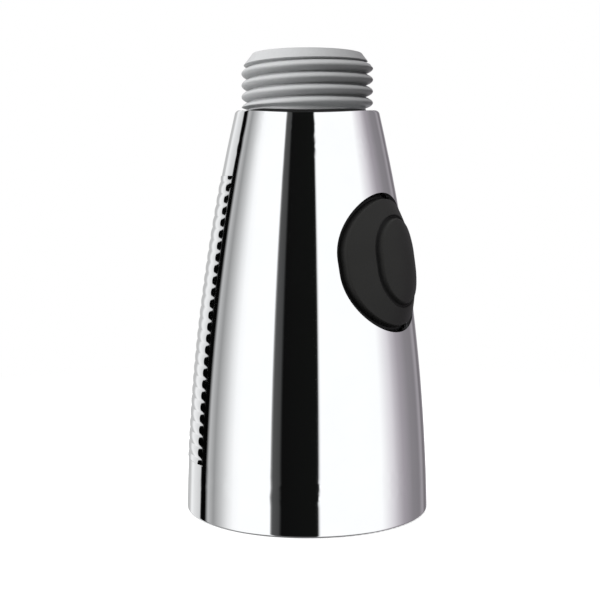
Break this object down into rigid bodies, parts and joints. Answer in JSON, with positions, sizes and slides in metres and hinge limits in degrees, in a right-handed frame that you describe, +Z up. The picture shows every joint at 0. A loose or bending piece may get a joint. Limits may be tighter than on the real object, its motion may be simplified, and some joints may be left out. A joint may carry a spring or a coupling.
{
  "type": "pull-out tap spray head",
  "caption": "Chrome-plated pull-out spray head of a kitchen tap: tapered round body, rear finger grip, oval rubber spray button, grey pipe-threaded hose inlet, aerator face.",
  "frame": {"origin": "middle of the open spray end, on the plane of the shell's lower edge", "axes": "+Z up the axis of the head to the hose thread, -Y the side the picture looks at, the button faces between +X and -Y"},
  "size_m": [0.0392, 0.0392, 0.073],
  "materials": {
    "chrome_plate": "bright nickel and chrome plate over plastic",
    "grey_acetal": "light grey moulded thread",
    "black_seal": "soft black seal rubber",
    "blue_plastic": "moulded plastic",
    "stainless": "stainless wire and screws",
    "white_plastic": "natural white acetal",
    "red_plastic": "moulded plastic",
    "grey_plastic": "mid grey moulded plastic",
    "dark_plastic": "dark grey moulded plastic",
    "black_boot": "satin black moulded rubber",
    "amber_plastic": "moulded plastic",
    "grey_silicone": "soft grey silicone",
    "satin_plate": "satin plated plastic"
  },
  "bodies": {
    "head": {"shell": "chrome_plate", "inlet_connector": "grey_acetal", "connector_seal": "black_seal", "strainer_ring": "blue_plastic", "strainer_mesh": "stainless", "check_valve_body": "white_plastic", "check_valve_seal": "black_seal", "check_valve_spring": "stainless", "water_body": "grey_plastic", "valve_cage": "white_plastic", "cage_seal": "black_seal", "stem_seal": "black_seal", "button_carrier": "dark_plastic", "carrier_screws": "stainless", "button_boot": "black_boot", "button_spring": "stainless", "distributor_plate": "grey_plastic", "nozzle_mat": "grey_silicone", "spray_face": "dark_plastic", "face_seal": "black_seal", "aerator_housing": "satin_plate", "aerator_grid": "white_plastic", "aerator_screen": "stainless", "aerator_diffuser": "white_plastic", "aerator_seal": "black_seal"},
    "button": {"button_plunger": "white_plastic", "diverter_spool": "amber_plastic", "spool_seals": "black_seal"},
    "check_valve": {"check_valve_poppet": "red_plastic"}
  },
  "joints": [
    {"name": "button_press", "type": "slide", "parent": "head", "child": "button", "axis": [-0.7995, 0.5809, -0.1527], "range_m": [0, 0.002], "stiffness_N_per_m": 400, "springref_m": -0.002, "deforming": ["button_boot", "button_spring"]},
    {"name": "check_valve_open", "type": "slide", "parent": "head", "child": "check_valve", "axis": [0, 0, -1], "range_m": [0, 0.0018], "stiffness_N_per_m": 60, "springref_m": -0.002, "deforming": ["check_valve_spring"]}
  ]
}
